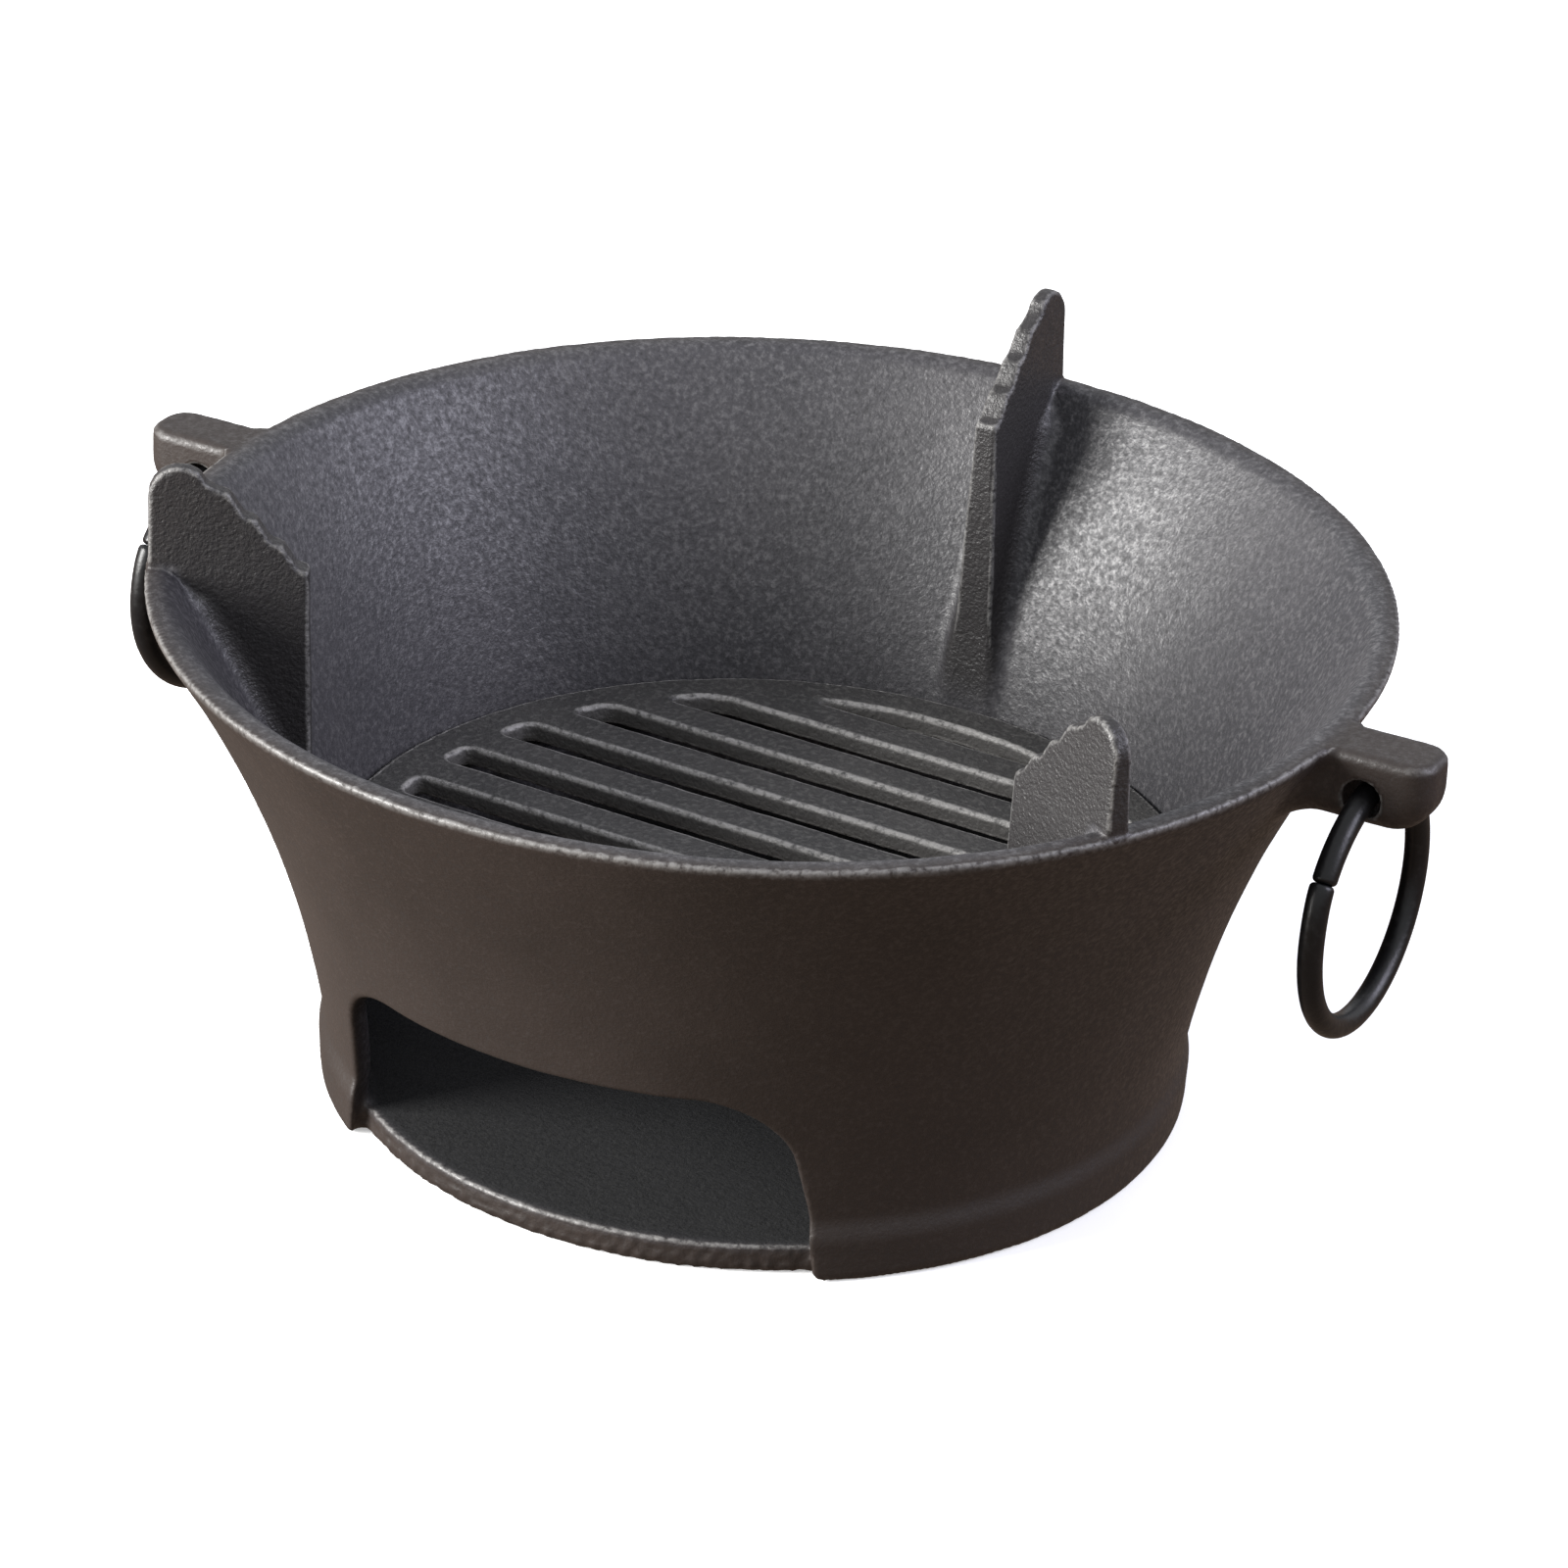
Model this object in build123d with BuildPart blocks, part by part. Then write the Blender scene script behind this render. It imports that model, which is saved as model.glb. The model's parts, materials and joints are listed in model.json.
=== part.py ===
"""Cast-iron charcoal stove: flared bowl, loose fire grate and two ring handles.

Frame: millimetres, +Z up, origin at the centre of the foot's underside, air door
facing -Y, ears and ring handles on the X axis.
"""
from build123d import *
import math
import os

# Bowl
height = 109.8
rim_radius = 125.0
rim_round = 1.0
rim_land = 1.6
foot_radius = 89.0
foot_round = 2.0
foot_band = 11.5
neck_step = 0.6
wall_sagitta = 5.6
wall = 5.2

# Floor and foot ring
floor_top = 6.4
floor_recess = 2.0
floor_setback = 3.6
foot_ring_width = 12.0
floor_round = 1.2

# Air door
door_foot_width = 106.0
door_top_width = 97.0
door_top = 43.0
door_corner = 14.0

# Fire grate and the ledge it rests on
ledge_top = 40.4
ledge_width = 5.0
ledge_thickness = 3.0
grate_thickness = 4.6
grate_gap = 0.8
grate_seat_gap = 0.05
grate_border = 9.4
grate_turn = -1.8
grate_edge_round = 0.8
slot_width = 7.6
slot_pitch = 17.2
slot_least_depth = 5.0
slot_corner = 2.0

# Pot-support fins
fin_count = 3
fin_start_angle = 90.0
fin_rise = 21.8
fin_tip_width = 11.5
fin_tip_round = 6.0
fin_shoulder_round = 4.0
fin_foot_bite = 1.2
fin_lean = 0.9
fin_steps = 4
fin_tread_share = 0.45
fin_tread_slope = 0.15
fin_tip_thickness = 3.6
fin_root_thickness = 10.0

# Ears
ear_reach = 21.0
ear_width = 13.6
ear_depth = 15.6
ear_corner = 9.0
ear_plan_corner = 5.0
ear_hole_play = 1.5
ear_hole_inset = 13.6
ear_hole_drop = 9.3

# Ring handles
ring_radius_right = 24.8
ring_radius_left = 23.2
ring_wire_radius = 2.5
ring_clearance = 0.35
ring_turn_right = 0.0
ring_turn_left = -8.0
ring_split_angle = 58.0
ring_split_gap = 0.8


class WallArc:
    """Circular arc in the (radius, height) half plane that bows towards the axis."""

    def __init__(self, low, high, sagitta):
        chord = math.dist(low, high)
        self.radius = (chord**2 / 4 + sagitta**2) / (2 * sagitta)
        middle = ((low[0] + high[0]) / 2, (low[1] + high[1]) / 2)
        outward = ((high[1] - low[1]) / chord, -(high[0] - low[0]) / chord)
        reach = self.radius - sagitta
        self.centre = (middle[0] + outward[0] * reach, middle[1] + outward[1] * reach)

    def at(self, z, depth=0.0):
        """Radius of the wall at height z, measured depth behind the outer face."""
        return self.centre[0] - math.sqrt((self.radius + depth) ** 2 - (z - self.centre[1]) ** 2)

    def points(self, z_from, z_to, depth=0.0):
        """Start, middle and end of the stretch between two heights."""
        heights = (z_from, (z_from + z_to) / 2, z_to)
        return [(self.at(z, depth), z) for z in heights]


neck_radius = foot_radius - neck_step
neck_height = foot_band + neck_step
rim_foot = height - rim_land
outer_wall = WallArc((neck_radius, neck_height), (rim_radius, rim_foot), wall_sagitta)

seat_radius = outer_wall.at(ledge_top, wall)
ledge_radius = seat_radius - ledge_width
ledge_root = ledge_top - ledge_thickness - ledge_width
grate_bottom = ledge_top + grate_seat_gap
grate_top = grate_bottom + grate_thickness
grate_foot_radius = outer_wall.at(grate_bottom, wall) - grate_gap
grate_radius = outer_wall.at(grate_top, wall) - grate_gap
slot_field_radius = grate_radius - grate_border
slot_reach = slot_field_radius - slot_least_depth + slot_width / 2
slot_pairs = math.floor(slot_reach / slot_pitch + 0.5)
fin_inner_bottom = outer_wall.at(grate_top, wall) + fin_foot_bite
fin_inner_top = fin_inner_bottom + fin_lean
lip_radius = foot_radius - floor_setback
ear_tip = rim_radius + ear_reach
ear_bottom = height - ear_depth
ear_hole_x = ear_tip - ear_hole_inset
ear_hole_z = height - ear_hole_drop
ear_hole_radius = ring_wire_radius + ear_hole_play


def fin_ramp():
    """Stair from the fin's shoulder down to its inner top corner, each tread sloping gently."""
    top = (rim_radius - fin_tip_width, height + fin_rise)
    run = (fin_inner_top - top[0]) / fin_steps
    drop = fin_rise / fin_steps
    points = [top]
    for i in range(fin_steps):
        foot = (top[0] + run * (i + 1), top[1] - drop * (i + 1))
        points.append((foot[0] - run * fin_tread_share, foot[1] + drop * fin_tread_slope))
        points.append(foot)
    return points


def make_fin():
    """One pot-support fin, pointing along +X, drafted so that it thickens downwards."""
    ramp = fin_ramp()
    tip_z = height + fin_rise
    rim_corner = (rim_radius, rim_foot)
    inner_foot = (fin_inner_bottom, grate_top)
    with BuildPart() as fin:
        with BuildSketch(Plane.XZ) as blade:
            with BuildLine():
                buried = outer_wall.points(grate_top, rim_corner[1], wall / 2)
                Polyline((rim_radius, tip_z), rim_corner, buried[2])
                ThreePointArc(*reversed(buried))
                Polyline(buried[0], inner_foot, *reversed(ramp), (rim_radius, tip_z))
            make_face()
            tips = blade.vertices().group_by(Axis.Y)[-1].sort_by(Axis.X)
            fillet(tips[-1], fin_tip_round)
            tips = blade.vertices().group_by(Axis.Y)[-1].sort_by(Axis.X)
            fillet(tips[0], fin_shoulder_round)
        extrude(amount=fin_root_thickness, both=True)
        with BuildSketch(Plane.YZ.offset(fin_inner_bottom - wall)):
            with BuildLine():
                root = fin_root_thickness / 2
                tip = fin_tip_thickness / 2
                Polyline((-root, grate_top), (root, grate_top), (tip, tip_z), (-tip, tip_z), close=True)
            make_face()
        extrude(amount=rim_radius, mode=Mode.INTERSECT)
    return fin.part


def make_ear():
    """One ear, pointing along +X, with its cross hole."""
    with BuildPart() as ear:
        with BuildSketch(Plane.XZ) as outline:
            with BuildLine():
                buried = outer_wall.points(ear_bottom, height, wall / 2)
                ThreePointArc(*buried)
                Polyline(buried[2], (ear_tip, height), (ear_tip, ear_bottom), buried[0])
            make_face()
            fillet(outline.vertices().group_by(Axis.X)[-1].sort_by(Axis.Y)[0], ear_corner)
        extrude(amount=ear_width / 2, both=True)
        fillet(ear.edges().filter_by(Axis.Z).group_by(Axis.X)[-1], ear_plan_corner)
        with BuildSketch(Plane.XZ):
            with Locations((ear_hole_x, ear_hole_z)):
                Circle(ear_hole_radius)
        extrude(amount=ear_width, both=True, mode=Mode.SUBTRACT)
    return ear.part


fin_shape = make_fin()
ear_shape = make_ear()

# Body casting: wall, air door, floor, fins and ears in one piece
with BuildPart() as stove_body:
    with BuildSketch(Plane.XZ) as profile:
        with BuildLine():
            Polyline((lip_radius - wall, 0), (foot_radius, 0), (foot_radius, foot_band),
                     (neck_radius, neck_height))
            ThreePointArc(*outer_wall.points(neck_height, rim_foot))
            Polyline((rim_radius, rim_foot), (rim_radius, height), (outer_wall.at(height, wall), height))
            ThreePointArc(*reversed(outer_wall.points(ledge_top, height, wall)))
            Polyline((seat_radius, ledge_top), (ledge_radius, ledge_top),
                     (ledge_radius, ledge_top - ledge_thickness),
                     (outer_wall.at(ledge_root, wall), ledge_root))
            Line((outer_wall.at(ledge_root, wall), ledge_root), (lip_radius - wall, floor_top))
            Line((lip_radius - wall, floor_top), (lip_radius - wall, 0))
        make_face()
        fillet(profile.vertices().group_by(Axis.Y)[-1], rim_round)
        fillet(profile.vertices().group_by(Axis.Y)[0].sort_by(Axis.X)[-1], foot_round)
    revolve(axis=Axis.Z)

    with BuildSketch(Plane.XZ) as door:
        with BuildLine():
            Polyline((-door_foot_width / 2, 0), (door_foot_width / 2, 0),
                     (door_top_width / 2, door_top), (-door_top_width / 2, door_top), close=True)
        make_face()
        fillet(door.vertices().group_by(Axis.Y)[-1], door_corner)
    extrude(amount=rim_radius, mode=Mode.SUBTRACT)

    with BuildSketch(Plane.XZ) as floor:
        with BuildLine():
            ring_inner = foot_radius - foot_ring_width
            Polyline((0, floor_recess), (ring_inner, floor_recess), (ring_inner, 0), (lip_radius, 0),
                     (lip_radius, floor_top), (0, floor_top), close=True)
        make_face()
        fillet(floor.vertices().group_by(Axis.X)[-1], floor_round)
    revolve(axis=Axis.Z)

    with PolarLocations(0, fin_count, start_angle=fin_start_angle):
        add(fin_shape)
    with PolarLocations(0, 2):
        add(ear_shape)

stove_body.part.label = "stove_body"

# Fire grate: loose disc, its edge parallel to the wall, with parallel slots that end on an inner
# circle, so that the outermost two are circle segments
with BuildPart() as fire_grate:
    with BuildSketch(Plane.XZ):
        with BuildLine():
            Polyline((0, grate_bottom), (grate_foot_radius, grate_bottom), (grate_radius, grate_top),
                     (0, grate_top), close=True)
        make_face()
    revolve(axis=Axis.Z)
    with BuildSketch(Plane.XY.offset(grate_bottom).rotated((0, 0, grate_turn))) as slots:
        with GridLocations(0, slot_pitch, 1, 2 * slot_pairs):
            Rectangle(2 * grate_radius, slot_width)
        Circle(slot_field_radius, mode=Mode.INTERSECT)
        fillet(slots.vertices(), slot_corner)
    extrude(amount=grate_thickness, mode=Mode.SUBTRACT)
    chamfer(fire_grate.faces().sort_by(Axis.Z)[-1].edges(), grate_edge_round)
fire_grate.part.label = "fire_grate"


def make_ring(side, ring_radius, turn):
    """Split wire ring hanging in an ear's cross hole, turned about the vertical by turn degrees."""
    half_hole = ear_width / 2
    slack = ear_hole_radius - ring_wire_radius - ring_clearance
    sideways = half_hole * math.sin(math.radians(turn))
    droop = ring_radius - math.sqrt(ring_radius**2 - half_hole**2)
    centre_z = ear_hole_z - math.sqrt(slack**2 - sideways**2) + droop - ring_radius
    split_half = math.degrees(ring_split_gap / 2 / ring_radius)
    facing = (math.cos(math.radians(turn)), math.sin(math.radians(turn)), 0)
    ring_plane = Plane(origin=(side * ear_hole_x, 0, centre_z), x_dir=(0, 0, 1), z_dir=facing)
    with BuildPart() as ring:
        with BuildLine(ring_plane) as path:
            CenterArc((0, 0), ring_radius, ring_split_angle + split_half, 360 - 2 * split_half)
        with BuildSketch(path.line ^ 0):
            Circle(ring_wire_radius)
        sweep()
    return ring.part


ring_handle_right = make_ring(1, ring_radius_right, ring_turn_right)
ring_handle_right.label = "ring_handle_right"
ring_handle_left = make_ring(-1, ring_radius_left, ring_turn_left)
ring_handle_left.label = "ring_handle_left"

os.makedirs("parts", exist_ok=True)
export_step(stove_body.part, "parts/stove_body.step")
export_step(fire_grate.part, "parts/fire_grate.step")
export_step(ring_handle_right, "parts/ring_handle_right.step")
export_step(ring_handle_left, "parts/ring_handle_left.step")
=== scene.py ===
"""Look of the cast-iron charcoal stove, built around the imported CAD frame.

Each casting is a signed distance field in millimetres, in the CAD frame (negative inside). It is
meshed on a voxel grid and its vertices are pulled onto the exact surface, so that every cast
fillet, rounded edge and hollow is real mesh. The rings are swept wire. Materials are procedural.
"""
import json
import math

import bmesh
import bpy
import numpy as np
import openvdb
from mathutils import Matrix, Vector


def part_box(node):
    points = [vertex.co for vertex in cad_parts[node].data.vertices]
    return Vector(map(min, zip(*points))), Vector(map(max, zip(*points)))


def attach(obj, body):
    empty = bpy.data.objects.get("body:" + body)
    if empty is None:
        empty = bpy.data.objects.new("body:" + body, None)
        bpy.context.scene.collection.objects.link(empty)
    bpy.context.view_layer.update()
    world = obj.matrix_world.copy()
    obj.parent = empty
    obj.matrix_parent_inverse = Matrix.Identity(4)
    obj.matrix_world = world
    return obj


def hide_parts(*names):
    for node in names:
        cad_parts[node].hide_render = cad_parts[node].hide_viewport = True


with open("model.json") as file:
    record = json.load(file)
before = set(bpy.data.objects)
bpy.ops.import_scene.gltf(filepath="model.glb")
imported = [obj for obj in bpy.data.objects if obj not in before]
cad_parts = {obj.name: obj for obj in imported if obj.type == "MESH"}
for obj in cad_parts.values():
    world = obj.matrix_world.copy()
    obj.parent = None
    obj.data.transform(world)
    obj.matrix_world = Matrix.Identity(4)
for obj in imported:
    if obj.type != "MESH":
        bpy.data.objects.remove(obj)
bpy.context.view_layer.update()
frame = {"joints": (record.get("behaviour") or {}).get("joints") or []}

MM = 0.001


def node_box(node):
    """Lowest and highest corners of a CAD node, in millimetres."""
    low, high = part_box(node)
    return np.array(low) / MM, np.array(high) / MM


# ---------------------------------------------------------------- sizes, in millimetres

body_low, body_high = node_box("stove_body")
grate_low, grate_high = node_box("fire_grate")
grate_bottom, grate_top = grate_low[2], grate_high[2]

# Bowl
fin_rise = 21.8
height = body_high[2] - fin_rise
rim_radius = body_high[1]
rim_land = 1.6
rim_land_round = 0.6
rim_round = 0.9
rim_inner_round = 1.8
wall = 5.2
wall_sagitta = 5.6
foot_radius = 89.0
foot_band = 11.5
foot_band_round = 3.0
foot_band_fillet = 4.0
foot_round = 2.2
neck_step = 0.6

# Floor, ledge and air door
floor_top = 6.4
floor_round = 0.9
floor_fillet = 3.0
floor_recess = 2.0
floor_setback = 3.6
foot_ring_width = 12.0
recess_round = 0.8
ledge_width = 5.0
ledge_thickness = 3.0
ledge_round = 0.6
ledge_fillet = 0.8
door_foot_width = 106.0
door_top_width = 97.0
door_top = 43.0
door_corner = 14.0
door_edge_round = 1.5

# Fins
fin_count = 3
fin_start_angle = 90.0
fin_tip_width = 11.5
fin_foot_bite = 1.2
fin_lean = 0.9
fin_steps = 4
fin_tread_share = 0.45
fin_tread_slope = 0.15
fin_tip_thickness = 3.6
fin_root_thickness = 10.0
fin_tip_round = 6.5
fin_shoulder_round = 4.6
fin_root_depth = 6.0
fin_foot_draft = 0.1
fin_edge_round = 0.9
fin_fillet_low = 4.6
fin_fillet_top = 0.4
fin_setback = 0.6
fin_soften = 0.45

# Ears
ear_width = 13.6
ear_depth = 15.6
ear_lower_corner = 9.0
ear_plan_corner = 5.2
ear_edge_round = 1.9
ear_fillet_top = 3.0
ear_fillet_low = 6.0
ear_hole_radius = 4.0
ear_hole_round = 0.9
ear_fillet_least = 0.1

# Ring handles
ring_wire_radius = 2.5
ring_turns = {"ring_handle_right": (1, 0.0), "ring_handle_left": (-1, -8.0)}
ring_split_angle = 58.0
ring_split_gap = 0.0
ring_cap_round = 1.0
ring_upper_spring = 0.3
ring_upper_spring_angle = 18.0
ring_lower_spring = 0.6
ring_lower_spring_angle = 14.0
ring_steps = 160
wire_sides = 28

# Fire grate
grate_seat_gap = 0.05
grate_gap = 1.1
grate_edge_round = 0.9
grate_under_round = 0.5
grate_turn = math.radians(-1.8)
slot_end_inset = 8.75
slot_width = 7.6
slot_pitch = 17.2
slot_pairs = 5
slot_corner = 2.2
slot_edge_round = 1.2

# Unevenness of the castings: swell in millimetres over a wavelength in millimetres, and its seed
body_swell = (0.05, 14, 1)
body_ripple = (0.015, 5, 2)
lip_chips = 0.16
rim_chips = 0.04
chip_wavelength, chip_seed = 2.4, 3
grate_swell = (0.05, 9, 11)
grate_ripple = (0.025, 3.0, 12)

# Zones around the ears and the fins, outside which their fields are left out
ear_zone_start, ear_zone_half_width, ear_zone_below = 96, 26, 14
fin_zone_start, fin_zone_half_width, fin_zone_below = 60, 18, 14

# Mesh fineness
body_voxel = 1.0
grate_voxel = 0.8


# ---------------------------------------------------------------- distance field tools

def round_union(a, b, radius):
    """Union whose inner corner is filled by a fillet of this radius."""
    inside = np.hypot(np.maximum(radius - a, 0), np.maximum(radius - b, 0))
    return np.maximum(radius, np.minimum(a, b)) - inside


def round_common(a, b, radius):
    """Intersection whose outer edge is rounded to this radius."""
    outside = np.hypot(np.maximum(radius + a, 0), np.maximum(radius + b, 0))
    return np.minimum(-radius, np.maximum(a, b)) + outside


def smooth_ramp(value, start, end):
    """0 at start, 1 at end, with a smooth turn at both."""
    share = np.clip((value - start) / (end - start), 0, 1)
    return share * share * (3 - 2 * share)


def waves(points, wavelength, seed, count=14):
    """Smooth random field of about -1 to 1 that swells over this wavelength."""
    random = np.random.default_rng(seed)
    directions = random.normal(size=(count, 3))
    directions /= np.linalg.norm(directions, axis=1)[:, None]
    pitches = 2 * math.pi / (wavelength * random.uniform(0.75, 1.5, count))
    phases = random.uniform(0, 2 * math.pi, count)
    total = sum(np.sin(points @ (d * k) + phase) for d, k, phase in zip(directions, pitches, phases))
    return total / math.sqrt(2 * count)


def uneven(points, swell, wavelength, seed):
    """Random swelling of this height, in millimetres."""
    return swell * waves(points, wavelength, seed)


def polygon_distance(u, v, corners):
    """Signed distance to a closed outline in a plane."""
    nearest = np.full(u.shape, np.inf)
    sign = np.ones(u.shape)
    for (ax, ay), (bx, by) in zip(corners, corners[1:] + corners[:1]):
        ex, ey = bx - ax, by - ay
        wx, wy = u - ax, v - ay
        along = np.clip((wx * ex + wy * ey) / (ex * ex + ey * ey), 0, 1)
        nearest = np.minimum(nearest, (wx - ex * along) ** 2 + (wy - ey * along) ** 2)
        upwards = np.sign(ey)
        crosses = ((ay > v) != (by > v)) & (wx * ey * upwards < wy * ex * upwards)
        sign = np.where(crosses, -sign, sign)
    return sign * np.sqrt(nearest)


# ---------------------------------------------------------------- the wall's arc

class WallArc:
    """The outer wall's arc in the (radius, height) half plane; it bows towards the axis."""

    def __init__(self, low, high, sagitta):
        chord = math.dist(low, high)
        self.radius = (chord**2 / 4 + sagitta**2) / (2 * sagitta)
        reach = (self.radius - sagitta) / chord
        self.r = (low[0] + high[0]) / 2 + (high[1] - low[1]) * reach
        self.z = (low[1] + high[1]) / 2 - (high[0] - low[0]) * reach

    def depth(self, r, z):
        """How far a point is behind the outer face."""
        return np.hypot(r - self.r, z - self.z) - self.radius

    def at(self, z, depth=0.0):
        """Radius at height z of the surface this far behind the outer face."""
        return self.r - math.sqrt((self.radius + depth) ** 2 - (z - self.z) ** 2)


neck = (foot_radius - neck_step, foot_band + neck_step)
wall_arc = WallArc(neck, (rim_radius, height - rim_land), wall_sagitta)
ledge_top = grate_bottom - grate_seat_gap
ledge_radius = wall_arc.at(ledge_top, wall) - ledge_width
lip_radius = foot_radius - floor_setback
ear_bottom = height - ear_depth
ear_tip = body_high[0]
hinge = next(j for j in frame["joints"] if j["name"] == "right_ring_swing")
ear_hole_x, _, ear_hole_z = (value / MM for value in hinge["pos_m"])


# ---------------------------------------------------------------- body casting

def wall_field(r, z, side):
    """Wall and ledge with the air door cut through both, and the outer face alone. side is (x, y)."""
    x, y = side
    depth = wall_arc.depth(r, z)
    band = round_common(r - foot_radius, z - foot_band, foot_band_round)
    outer = round_union(-depth, band, foot_band_fillet)
    outer = round_common(outer, r - rim_radius, rim_land_round)
    hollow = np.minimum(wall - depth, r - (foot_radius - wall))
    shell = round_common(outer, z - height, rim_round)
    shell = round_common(shell, -hollow, rim_inner_round)

    ledge_under = (ledge_top - ledge_thickness - z + ledge_radius - r) * math.sqrt(0.5)
    ledge = round_common(z - ledge_top, ledge_radius - r, ledge_round)
    ledge = np.maximum(np.maximum(ledge, ledge_under), wall / 2 - depth)
    shell = round_union(shell, ledge, ledge_fillet)

    slope = (door_foot_width - door_top_width) / 2 / door_top
    sides = (np.abs(x) - door_foot_width / 2 + z * slope) * math.cos(math.atan(slope))
    door = np.maximum(round_common(sides, z - door_top, door_corner), y)
    return round_common(shell, -door, door_edge_round), outer


def floor_field(r, z):
    """Floor disc; its rim is the bare lip in the air door."""
    disc = round_common(r - lip_radius, z - floor_top, floor_round)
    hollow = round_common(r - (foot_radius - foot_ring_width), z - floor_recess, recess_round)
    return round_common(disc, -hollow, recess_round)


def fin_outline():
    """The fin in the (radius, height) plane: buried foot, stair, rounded tip."""
    inner_foot = wall_arc.at(grate_top, wall) + fin_foot_bite
    inner_top = inner_foot + fin_lean
    shoulder = (rim_radius - fin_tip_width, height + fin_rise)
    run = (inner_top - shoulder[0]) / fin_steps
    drop = fin_rise / fin_steps
    corners = [(rim_radius - wall, height - wall), (rim_radius, height - rim_land), (rim_radius, shoulder[1])]
    round_centre = (shoulder[0] + fin_shoulder_round * 0.8, shoulder[1] - fin_shoulder_round)
    for turn in np.radians((95, 130, 165)):
        corners.append((round_centre[0] + fin_shoulder_round * math.cos(turn),
                        round_centre[1] + fin_shoulder_round * math.sin(turn)))
    for i in range(1, fin_steps + 1):
        foot = (shoulder[0] + run * i, shoulder[1] - drop * i)
        corners.append((foot[0] - run * fin_tread_share, foot[1] + drop * fin_tread_slope))
        corners.append(foot)
    low = grate_top - fin_root_depth
    corners.append((inner_foot - fin_foot_draft, grate_top))
    corners.append((wall_arc.at(low, wall / 2), low))
    for share in (0.35, 0.7):
        z = low + (height - wall - low) * share
        corners.append((wall_arc.at(z, wall / 2), z))
    return corners


fin_corners = fin_outline()


def fin_profile(u, z):
    """Distance to the fin's outline, its stair softened as cast and its tip rounded."""
    turns = np.arange(6) * math.pi / 3
    spots = zip(fin_soften * np.cos(turns), fin_soften * np.sin(turns))
    soft = sum(polygon_distance(u + du, z + dz, fin_corners) for du, dz in spots) / len(turns)
    tip = round_common(u - rim_radius + fin_setback, z - height - fin_rise, fin_tip_round)
    return np.maximum(soft, tip)


def fin_field(u, v, z):
    """One fin along +u, thinner towards its top."""
    share = (z - grate_top) / (height + fin_rise - grate_top)
    half = (fin_root_thickness + (fin_tip_thickness - fin_root_thickness) * share) / 2
    return round_common(fin_profile(u, z), np.abs(v) - half, fin_edge_round)


def ear_field(x, y, z, depth):
    """Ear along +x with a big lower corner, before its hole."""
    profile = round_common(x - ear_tip, ear_bottom - z, ear_lower_corner)
    ear = round_common(profile, np.abs(y) - ear_width / 2, ear_plan_corner)
    ear = round_common(ear, z - height, ear_edge_round)
    return np.maximum(ear, depth - wall / 2)


def body_field(points, cast=True):
    """Whole body casting. cast adds the unevenness that sand leaves."""
    x, y, z = points.T
    r = np.hypot(x, y)
    shell, outer = wall_field(r, z, (x, y))
    depth = wall_arc.depth(r, z)

    # ears, flush with the rim
    near = (np.abs(x) > ear_zone_start) & (np.abs(y) < ear_zone_half_width)
    near &= z > ear_bottom - ear_zone_below
    if near.any():
        ex, ey, ez = np.abs(x[near]), y[near], z[near]
        ear = ear_field(ex, ey, ez, depth[near])
        near_top = smooth_ramp(ez, height - 12, height - 3)
        fillet = ear_fillet_low + (ear_fillet_top - ear_fillet_low) * near_top
        fillet = ear_fillet_least + fillet * smooth_ramp(-depth[near], -1.5, 0)
        joined = np.maximum(round_union(shell[near], ear, fillet), ez - height)
        hole = np.hypot(ex - ear_hole_x, ez - ear_hole_z) - ear_hole_radius
        shell[near] = round_common(joined, -hole, ear_hole_round)

    body = round_union(shell, floor_field(r, z), floor_fillet)
    body = round_common(body, -z, foot_round)

    # fins, folded onto one sector
    sector = 2 * math.pi / fin_count
    angle = np.arctan2(y, x) - math.radians(fin_start_angle)
    angle = (angle + sector / 2) % sector - sector / 2
    u, v = r * np.cos(angle), r * np.sin(angle)
    near = (u > fin_zone_start) & (np.abs(v) < fin_zone_half_width)
    near &= z > grate_top - fin_zone_below
    if near.any():
        fin = fin_field(u[near], v[near], z[near])
        envelope = np.maximum(outer[near], r[near] - rim_radius)
        near_top = smooth_ramp(z[near], height - 8, height - 1)
        fillet = fin_fillet_low + (fin_fillet_top - fin_fillet_low) * near_top
        body[near] = np.maximum(round_union(body[near], fin, fillet), envelope)

    if cast:
        lip = smooth_ramp(r, lip_radius - 4, lip_radius - 1) * smooth_ramp(-z, -floor_top - 2, -floor_top + 3)
        in_door = (y < 0) & (np.abs(x) < door_foot_width / 2)
        lip *= in_door
        rim = smooth_ramp(z, height - 4, height) * smooth_ramp(-z, -height - 4, -height)
        body = body + uneven(points, *body_swell) + uneven(points, *body_ripple)
        body = body + uneven(points, lip_chips * lip + rim_chips * rim, chip_wavelength, chip_seed)
    return body


# ---------------------------------------------------------------- fire grate casting

def grate_field(points, cast=True):
    """Loose slotted disc; its edge runs parallel to the wall."""
    x, y, z = points.T
    r = np.hypot(x, y)
    rim = wall + grate_gap - wall_arc.depth(r, z)
    disc = round_common(rim, z - grate_top, grate_edge_round)
    disc = round_common(disc, grate_bottom - z, grate_under_round)
    across = y * math.cos(grate_turn) - x * math.sin(grate_turn)
    last = slot_pairs - 0.5
    centre = np.clip(np.round(across / slot_pitch - 0.5) + 0.5, -last, last) * slot_pitch
    field_radius = grate_high[0] - slot_end_inset
    slot = round_common(np.abs(across - centre) - slot_width / 2, r - field_radius, slot_corner)
    grate = round_common(disc, -slot, slot_edge_round)
    if cast:
        grate = grate + uneven(points, *grate_swell) + uneven(points, *grate_ripple)
    return grate


# ---------------------------------------------------------------- meshing

def slope(field, points, step=0.04):
    """Gradient of a field by central differences."""
    sides = []
    for axis in np.eye(3) * step:
        sides.append((field(points + axis) - field(points - axis)) / (2 * step))
    return np.stack(sides, axis=1)


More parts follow.
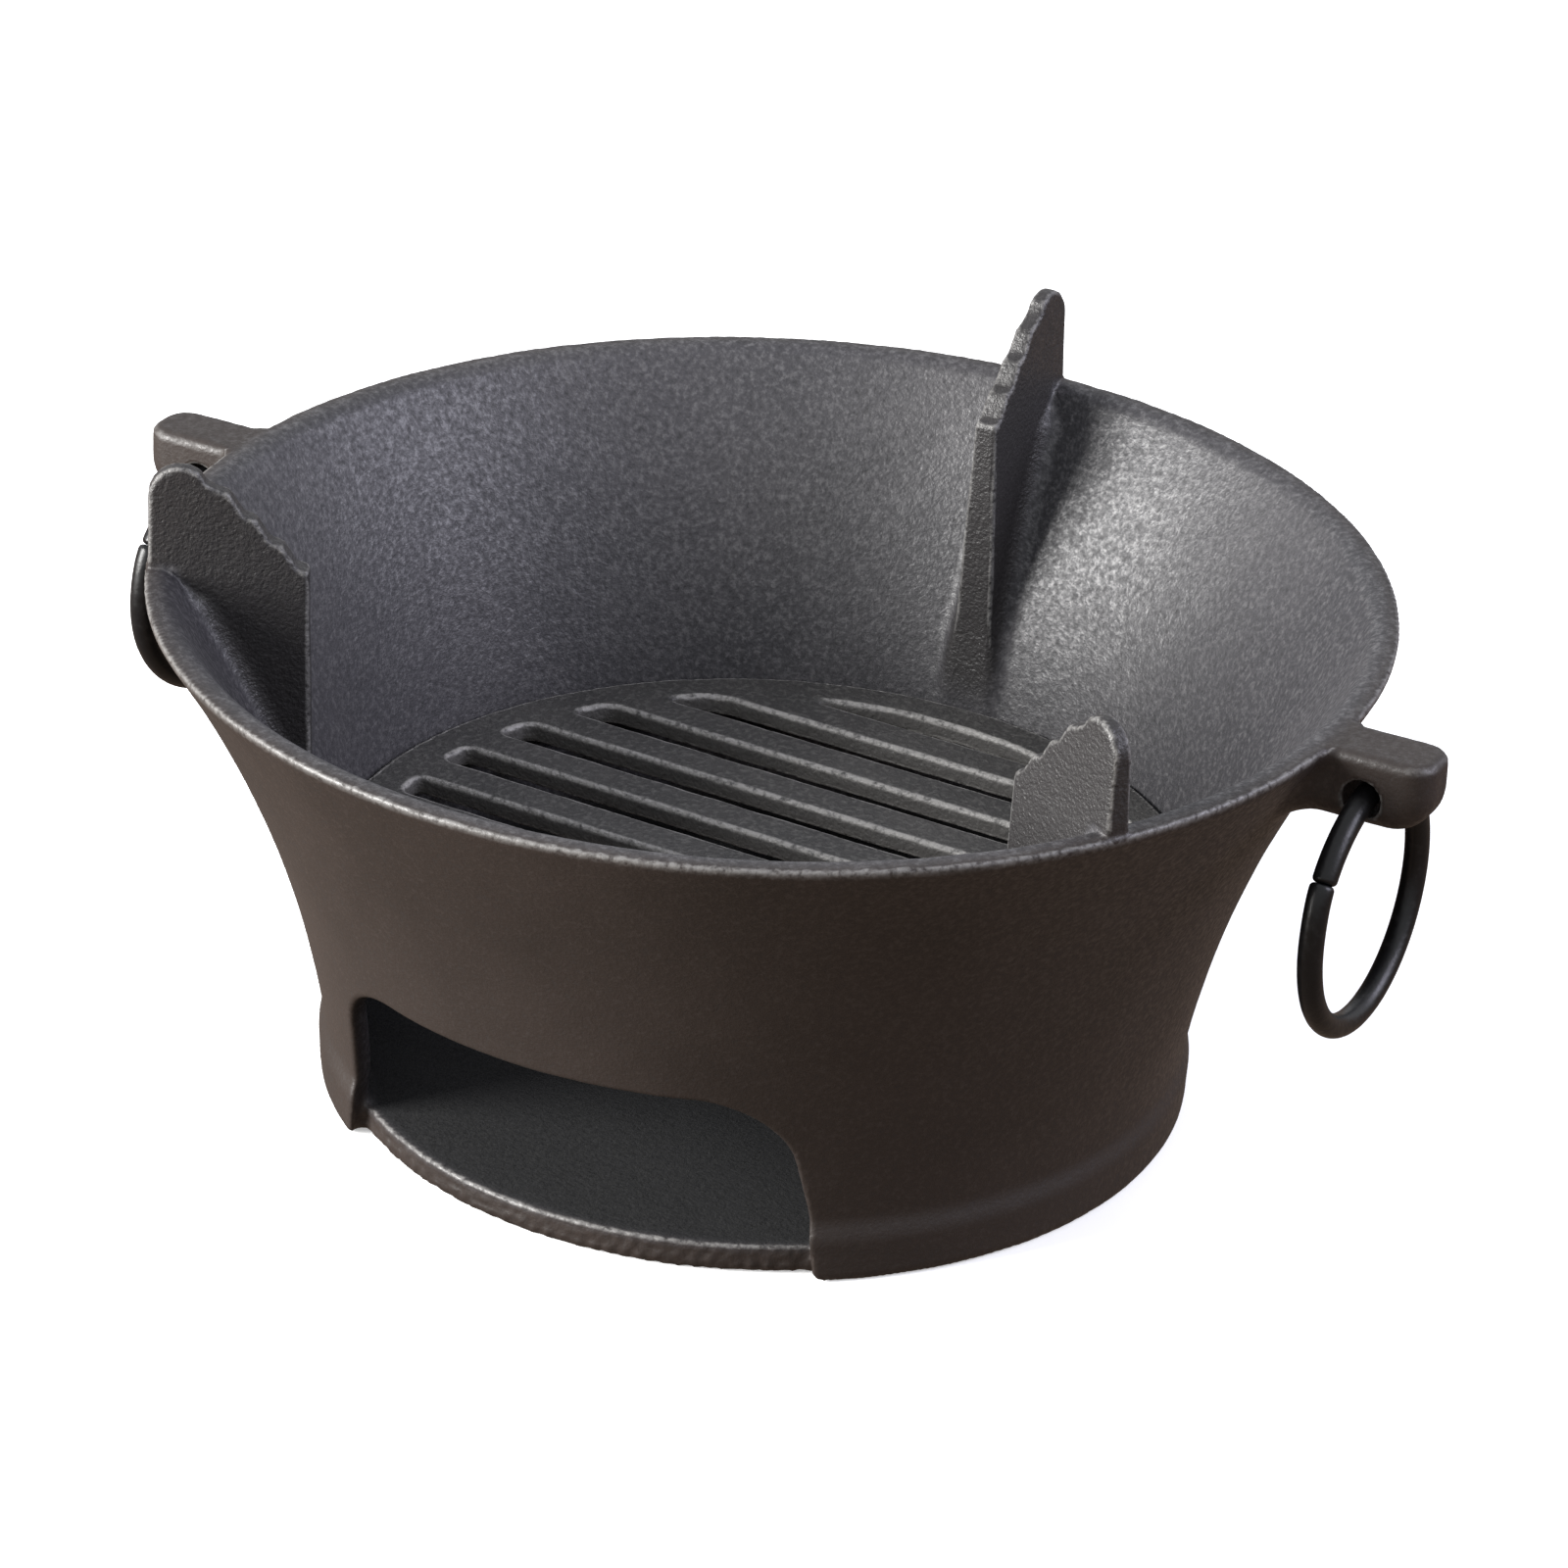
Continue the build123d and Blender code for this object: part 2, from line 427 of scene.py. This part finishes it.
def edge_sharpness(field, points, reach=1.0):
    """Curvature of the uncast field in 1/mm: positive on outer edges, negative in corners."""
    around = sum(field(points + s * axis, False) for axis in np.eye(3) * reach for s in (-1, 1)) / 6
    return (around - field(points, False)) * 6 / reach**2


def sample(field, low, high, step, block=4):
    """Field values on a voxel grid, exact near the surface and coarse away from it."""
    start = low - 3 * step
    counts = np.ceil((high - low + 6 * step) / (step * block)).astype(int)
    middle = step * (block - 1) / 2
    axes = [start[k] + middle + np.arange(counts[k]) * step * block for k in range(3)]
    centres = np.stack(np.meshgrid(*axes, indexing="ij"), axis=-1).reshape(-1, 3)
    coarse = field(centres).reshape(counts)
    reach = step * block * 0.9 + 2 * step
    near = np.argwhere(np.abs(coarse) < reach)
    values = coarse
    for axis in range(3):
        values = np.repeat(values, block, axis=axis)
    inner = np.stack(np.meshgrid(*[np.arange(block)] * 3, indexing="ij"), axis=-1).reshape(-1, 3)
    for part in np.array_split(near, max(1, len(near) // 8000)):
        cells = (part[:, None, :] * block + inner[None]).reshape(-1, 3)
        values[tuple(cells.T)] = field(start + cells * step)
    return start, np.clip(values, -3 * step, 3 * step).astype(np.float32)


def surface(field, low, high, step):
    """Vertices on the field's zero surface and the quads between them."""
    start, values = sample(field, low, high, step)
    grid = openvdb.FloatGrid(float(3 * step))
    grid.copyFromArray(values)
    points, quads = grid.convertToQuads(0.0)
    points = points.astype(float) * step + start
    for _ in range(3):
        gradient = slope(field, points)
        length2 = np.maximum((gradient**2).sum(axis=1), 0.05)
        shift = np.clip(field(points) / length2, -step, step)
        points -= gradient * shift[:, None]
    return points, quads


def cast_piece(name, field, low, high, step):
    """Mesh object of a casting, with its edge sharpness stored for the material."""
    points, quads = surface(field, low, high, step)
    mesh = bpy.data.meshes.new(name)
    mesh.from_pydata((points * MM).tolist(), [], quads[:, ::-1].tolist())
    mesh.update()
    normals = slope(field, points, 0.25)
    normals /= np.maximum(np.linalg.norm(normals, axis=1), 1e-6)[:, None]
    face = mesh.polygons[0]
    if face.normal.dot(Vector(normals[face.vertices[0]])) < 0:
        mesh.flip_normals()
    mesh.shade_smooth()
    mesh.normals_split_custom_set_from_vertices(normals.tolist())
    edge = mesh.attributes.new("edge", "FLOAT", "POINT")
    edge.data.foreach_set("value", np.clip(edge_sharpness(field, points), -1, 1).astype(np.float32))
    piece = bpy.data.objects.new(name, mesh)
    bpy.context.scene.collection.objects.link(piece)
    return piece


# ---------------------------------------------------------------- rings

def ring_stations(node, side, turn):
    """Stations along the bent wire: centre, radial direction, tangent and wire radius."""
    low, high = node_box(node)
    radius = (high[2] - low[2]) / 2 - ring_wire_radius
    centre = np.array([side * ear_hole_x, 0.0, (low[2] + high[2]) / 2])
    facing = math.radians(turn)
    sideways = np.array([math.sin(facing), -math.cos(facing), 0.0])
    up = np.array([0.0, 0.0, 1.0])
    gap = math.degrees((ring_split_gap / 2 + ring_cap_round) / radius)
    full = 360 - 2 * gap
    cap = [(math.sin(t), 1 - math.cos(t)) for t in np.radians((25, 50, 75, 90))]
    spots = [(0.0, -push, shrink) for push, shrink in reversed(cap)]
    spots += [(turned, 0.0, 0.0) for turned in np.linspace(0, full, ring_steps)]
    spots += [(full, push, shrink) for push, shrink in cap]
    stations = []
    for turned, push, shrink in spots:
        angle = math.radians(ring_split_angle + gap + turned)
        spring = ring_lower_spring * math.exp(-((turned / ring_lower_spring_angle) ** 2))
        spring += ring_upper_spring * math.exp(-(((full - turned) / ring_upper_spring_angle) ** 2))
        arm = up * math.cos(angle) + sideways * math.sin(angle)
        along = -up * math.sin(angle) + sideways * math.cos(angle)
        place = centre + arm * (radius + spring) + along * ring_cap_round * push
        stations.append((place, arm, along, ring_wire_radius - ring_cap_round * shrink))
    return stations


def face_outwards(mesh):
    """Turns all faces outwards."""
    shape = bmesh.new()
    shape.from_mesh(mesh)
    bmesh.ops.recalc_face_normals(shape, faces=shape.faces)
    shape.to_mesh(mesh)
    shape.free()


def ring_handle(node, name, side, turn):
    """Bent wire ring; its two ends nearly meet towards the air door and spring out a little."""
    stations = ring_stations(node, side, turn)
    points = []
    for centre, arm, along, radius in stations:
        across = np.cross(arm, along)
        for k in range(wire_sides):
            t = 2 * math.pi * k / wire_sides
            points.append(centre + radius * (math.cos(t) * arm + math.sin(t) * across))
    faces = []
    for i in range(len(stations) - 1):
        for k in range(wire_sides):
            a, b = i * wire_sides + k, i * wire_sides + (k + 1) % wire_sides
            faces.append((a, b, b + wire_sides, a + wire_sides))
    last = (len(stations) - 1) * wire_sides
    faces.append(tuple(range(wire_sides))[::-1])
    faces.append(tuple(range(last, last + wire_sides)))
    mesh = bpy.data.meshes.new(name)
    mesh.from_pydata((np.array(points) * MM).tolist(), [], faces)
    face_outwards(mesh)
    mesh.shade_smooth()
    piece = bpy.data.objects.new(name, mesh)
    bpy.context.scene.collection.objects.link(piece)
    return piece


# ---------------------------------------------------------------- materials

class Nodes:
    """Small helper that adds and links shader nodes of one material."""

    def __init__(self, name):
        self.material = bpy.data.materials.new(name)
        self.material.use_nodes = True
        self.tree = self.material.node_tree
        self.shader = self.tree.nodes["Principled BSDF"]
        self.place = self.add("ShaderNodeTexCoord").outputs["Object"]

    def add(self, kind, inputs=None, **settings):
        node = self.tree.nodes.new(kind)
        for key, value in settings.items():
            setattr(node, key, value)
        for key, value in (inputs or {}).items():
            self.put(node.inputs[key], value)
        return node

    def put(self, socket, value):
        """Links a socket or sets its value."""
        if isinstance(value, bpy.types.NodeSocket):
            self.tree.links.new(value, socket)
        else:
            socket.default_value = value

    def noise(self, size_mm, detail=2.0, roughness=0.5):
        """Noise about 0 to 1 whose features are this many millimetres across."""
        inputs = {"Vector": self.place, "Scale": 1 / (size_mm * MM), "Detail": detail, "Roughness": roughness}
        return self.add("ShaderNodeTexNoise", inputs).outputs["Fac"]

    def math(self, operation, a, b):
        return self.add("ShaderNodeMath", {0: a, 1: b}, operation=operation).outputs[0]

    def spread(self, value, low, high, to_low=0.0, to_high=1.0):
        """Maps low..high to to_low..to_high, clamped."""
        inputs = {"Value": value, "From Min": low, "From Max": high, "To Min": to_low, "To Max": to_high}
        return self.add("ShaderNodeMapRange", inputs).outputs["Result"]

    def blend(self, share, a, b):
        """Colour a where share is 0, b where it is 1."""
        node = self.add("ShaderNodeMix", data_type="RGBA")
        self.put(node.inputs[0], share)
        self.put(node.inputs[6], a)
        self.put(node.inputs[7], b)
        return node.outputs[2]

    def attribute(self, name):
        """Value stored on the mesh under this name."""
        return self.add("ShaderNodeAttribute", attribute_name=name).outputs["Fac"]

    def bump(self, height, depth_mm):
        """Normal of a surface raised by height times this many millimetres."""
        inputs = {"Height": height, "Distance": depth_mm * MM}
        return self.add("ShaderNodeBump", inputs).outputs["Normal"]

    def finish(self, **sockets):
        """Sets the shader's inputs, named with _ for each space, and gives the material."""
        for key, value in sockets.items():
            self.put(self.shader.inputs[key.replace("_", " ")], value)
        return self.material


def rgb(red, green, blue):
    return (red, green, blue, 1.0)


def cast_iron_body():
    """Seasoned sand-cast iron: cool and speckled inside, warm and smoother outside, sooty below."""
    n = Nodes("cast_iron_body")
    warm = n.attribute("warm")
    edge = n.attribute("edge")
    soot = n.attribute("soot")
    fin = n.attribute("fin")
    fine = n.noise(0.7, 1, 0.5)
    speck = n.noise(1.3, 3, 0.7)
    lumps = n.noise(5.0, 2, 0.5)
    stain = n.noise(38, 3)

    inside = n.blend(n.spread(stain, 0.35, 0.65), rgb(0.030, 0.029, 0.033), rgb(0.040, 0.038, 0.042))
    outside = n.blend(n.spread(stain, 0.35, 0.65), rgb(0.017, 0.012, 0.010), rgb(0.023, 0.0165, 0.014))
    base = n.blend(warm, inside, outside)
    light = n.math("MULTIPLY", n.spread(speck, 0.49, 0.68), n.spread(warm, 0, 1, 0.75, 0.12))
    base = n.blend(light, base, rgb(0.105, 0.102, 0.106))
    dark = n.math("MULTIPLY", n.spread(speck, 0.46, 0.28), n.spread(warm, 0, 1, 0.75, 0.2))
    base = n.blend(dark, base, rgb(0.006, 0.006, 0.007))
    base = n.blend(soot, base, rgb(0.009, 0.009, 0.0095))
    base = n.blend(n.math("MULTIPLY", fin, 0.72), base, rgb(0.014, 0.012, 0.011))

    worn = n.math("MULTIPLY", n.spread(edge, 0.55, 1.0), n.spread(soot, 0, 1, 1.0, 0.0))
    worn = n.math("MULTIPLY", worn, n.spread(n.noise(1.3, 2, 0.6), 0.30, 0.54))
    colour = n.blend(n.math("MULTIPLY", worn, 0.75), base, rgb(0.19, 0.185, 0.18))

    height = n.math("ADD", n.math("MULTIPLY", fine, 0.5), n.math("MULTIPLY", speck, 0.8))
    height = n.math("ADD", height, n.math("MULTIPLY", lumps, 0.2))
    height = n.math("MULTIPLY", height, n.spread(warm, 0, 1, 1.0, 0.6))
    height = n.math("MULTIPLY", height, n.spread(fin, 0, 1, 1.0, 2.0))
    rough = n.spread(warm, 0, 1, 0.45, 0.48)
    rough = n.math("ADD", rough, n.spread(speck, 0.35, 0.65, 0.14, -0.10))
    rough = n.math("ADD", rough, n.math("MULTIPLY", soot, 0.2))
    return n.finish(Base_Color=colour, Roughness=rough, Normal=n.bump(height, 0.18))


def cast_iron_grate():
    """Sand-cast iron of the fire grate: darker, duller, with bare worn slot edges and painted light on its
    upright faces.
    """
    n = Nodes("cast_iron_grate")
    edge = n.attribute("edge")
    fine = n.noise(0.8, 1, 0.5)
    grain = n.noise(1.4, 2, 0.6)
    stain = n.noise(30, 3)
    base = n.blend(n.spread(stain, 0.35, 0.65), rgb(0.030, 0.029, 0.029), rgb(0.044, 0.042, 0.041))
    base = n.blend(n.math("MULTIPLY", n.spread(grain, 0.48, 0.68), 0.6), base, rgb(0.10, 0.097, 0.093))
    # Painted light: upright faces such as the slot walls are lightened towards pale grey, standing in for
    # light reaching into the slots.
    normal = n.add("ShaderNodeNewGeometry").outputs["Normal"]
    upwards = n.add("ShaderNodeSeparateXYZ", {0: normal}).outputs["Z"]
    base = n.blend(n.spread(upwards, 0.8, 0.2, 0.0, 0.5), base, rgb(0.13, 0.125, 0.12))
    worn = n.spread(edge, 0.38, 0.75)
    worn = n.math("MULTIPLY", worn, n.spread(n.noise(1.5, 3, 0.6), 0.30, 0.52))
    colour = n.blend(n.math("MULTIPLY", worn, 0.85), base, rgb(0.30, 0.29, 0.28))
    height = n.math("ADD", n.math("MULTIPLY", fine, 0.6), grain)
    rough = n.spread(grain, 0.3, 0.7, 0.56, 0.42)
    return n.finish(Base_Color=colour, Roughness=rough, Normal=n.bump(height, 0.30))


def ring_steel():
    """Satin black wire with faint rub marks."""
    n = Nodes("ring_steel")
    rub = n.spread(n.noise(3.0, 4, 0.65), 0.56, 0.70)
    colour = n.blend(n.math("MULTIPLY", rub, 0.35), rgb(0.005, 0.005, 0.0055), rgb(0.026, 0.024, 0.023))
    rough = n.spread(n.noise(1.5, 3), 0.3, 0.7, 0.28, 0.42)
    smooth = n.bump(n.noise(0.8, 2), 0.05)
    return n.finish(Base_Color=colour, Roughness=rough, Specular_IOR_Level=0.35, Normal=smooth)


def floor_material():
    """Pale studio floor, lit a little by itself so that the shadow on it stays faint."""
    n = Nodes("studio_floor")
    tone = n.blend(n.spread(n.noise(400, 2), 0.3, 0.7), rgb(0.90, 0.90, 0.90), rgb(0.93, 0.93, 0.93))
    return n.finish(Base_Color=tone, Roughness=0.9, Emission_Color=tone, Emission_Strength=0.4)


# ---------------------------------------------------------------- pieces

def add_shares(piece):
    """Stores how far a vertex belongs to the outer face, the sooty ash chamber and the fins.

    It also takes most of the edge wear off the air door's jambs, which nothing rubs.
    """
    points = np.empty(len(piece.data.vertices) * 3)
    piece.data.vertices.foreach_get("co", points)
    x, y, z = points.reshape(-1, 3).T / MM
    r = np.hypot(x, y)
    depth = wall_arc.depth(r, z)

    lip_face = smooth_ramp(r, lip_radius - 1.0, lip_radius - 0.2)
    lip_face *= smooth_ramp(-z, 0.8 - floor_top, 1.6 - floor_top)
    warm = np.maximum(smooth_ramp(-depth, -wall, -0.2), lip_face)
    warm = np.where(z < 1.0, 1.0, warm)

    soot = smooth_ramp(-z, -ledge_top, 4 - ledge_top) * (1 - warm)
    soot *= smooth_ramp(-r, 0.2 - lip_radius, 1.4 - lip_radius)

    inward = smooth_ramp(depth, wall + 0.3, wall + 2.0) * smooth_ramp(z, grate_top, grate_top + 2)
    fin = np.maximum(inward, smooth_ramp(z, height + 0.3, height + 1.5))

    for name, share in (("warm", warm), ("soot", soot), ("fin", fin)):
        stored = piece.data.attributes.new(name, "FLOAT", "POINT")
        stored.data.foreach_set("value", share.astype(np.float32))

    jamb = smooth_ramp(-z, -door_top - 6, -door_top)
    jamb *= smooth_ramp(r, lip_radius + 0.2, lip_radius + 1.0)
    edge = piece.data.attributes["edge"]
    sharpness = np.empty(len(z), np.float32)
    edge.data.foreach_get("value", sharpness)
    edge.data.foreach_set("value", (sharpness * (1 - 0.8 * jamb)).astype(np.float32))


def dress(piece, material, node, body):
    """Material, CAD node and body of one piece."""
    piece.data.materials.append(material)
    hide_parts(node)
    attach(piece, body)


bowl = cast_piece("bowl_casting", body_field, body_low, body_high, body_voxel)
add_shares(bowl)
dress(bowl, cast_iron_body(), "stove_body", "body")

grate = cast_piece("grate_casting", grate_field, grate_low, grate_high, grate_voxel)
dress(grate, cast_iron_grate(), "fire_grate", "grate")

steel = ring_steel()
for node, (side, turn) in ring_turns.items():
    ring_body = "right_ring" if side > 0 else "left_ring"
    ring = ring_handle(node, ring_body + "_wire", side, turn)
    dress(ring, steel, node, ring_body)


# ---------------------------------------------------------------- stage, light and camera

def area_light(name, place, aim, size, power, colour):
    """Rectangular softbox at place that points at aim. Metres and watts."""
    light = bpy.data.lights.new(name, "AREA")
    light.shape = "RECTANGLE"
    light.size, light.size_y = size
    light.energy = power
    light.color = colour
    lamp = bpy.data.objects.new(name, light)
    lamp.location = place
    lamp.rotation_euler = (Vector(aim) - Vector(place)).to_track_quat("-Z", "Y").to_euler()
    bpy.context.scene.collection.objects.link(lamp)


def ground():
    """Pale floor that the stove neither mirrors nor is lit by."""
    far = 12.0
    mesh = bpy.data.meshes.new("studio_floor")
    mesh.from_pydata([(-far, -far, 0), (far, -far, 0), (far, far, 0), (-far, far, 0)], [], [(0, 1, 2, 3)])
    mesh.materials.append(floor_material())
    floor = bpy.data.objects.new("studio_floor", mesh)
    bpy.context.scene.collection.objects.link(floor)
    floor.visible_diffuse = False
    floor.visible_glossy = False


def surroundings():
    """Even pale light from above the horizon, and weak warm light from below it."""
    world = bpy.data.worlds.new("studio")
    world.use_nodes = True
    tree = world.node_tree
    background = tree.nodes["Background"]
    direction = tree.nodes.new("ShaderNodeTexCoord").outputs["Generated"]
    split = tree.nodes.new("ShaderNodeSeparateXYZ")
    tree.links.new(direction, split.inputs[0])
    ramp = tree.nodes.new("ShaderNodeValToRGB")
    below, above = ramp.color_ramp.elements
    below.position, below.color = 0.0, rgb(0.30, 0.22, 0.17)
    above.position, above.color = 0.12, rgb(0.95, 0.97, 1.0)
    tree.links.new(split.outputs["Z"], ramp.inputs[0])
    tree.links.new(ramp.outputs[0], background.inputs["Color"])
    background.inputs["Strength"].default_value = 0.8
    bpy.context.scene.world = world


def lights():
    """Soft key from the front left and a weak cool fill from behind on the right."""
    centre = (0, 0, 0.07)
    area_light("key", (-0.94, -0.93, 0.47), centre, (0.7, 0.7), 56, (1.0, 0.99, 0.97))
    area_light("fill", (1.10, 0.45, 0.80), centre, (0.9, 0.7), 14, (0.84, 0.83, 1.0))
    bpy.context.scene.view_settings.view_transform = "Standard"


def camera():
    """Three-quarter view from the front right and above, with a slight roll."""
    turn, tilt, roll = (math.radians(a) for a in (27.91, 29.18, 2.51))
    distance, aim_right, aim_up = 1.37936, 0.00393, 0.06453
    right = Vector((math.cos(turn), math.sin(turn), 0))
    level_part = math.cos(tilt)
    outward = Vector((math.sin(turn) * level_part, -math.cos(turn) * level_part, math.sin(tilt)))
    place = outward * distance
    back = (place - right * aim_right - Vector((0, 0, aim_up))).normalized()
    level = Vector((0, 0, 1)).cross(back).normalized()
    over = back.cross(level)
    across = level * math.cos(roll) + over * math.sin(roll)
    upward = over * math.cos(roll) - level * math.sin(roll)
    data = bpy.data.cameras.new("camera")
    data.lens = 152.85
    data.sensor_width = 36.0
    data.clip_start, data.clip_end = 0.05, 60
    eye = bpy.data.objects.new("camera", data)
    eye.matrix_world = Matrix.Translation(place) @ Matrix((across, upward, back)).transposed().to_4x4()
    bpy.context.scene.collection.objects.link(eye)
    bpy.context.scene.camera = eye


ground()
surroundings()
lights()
camera()
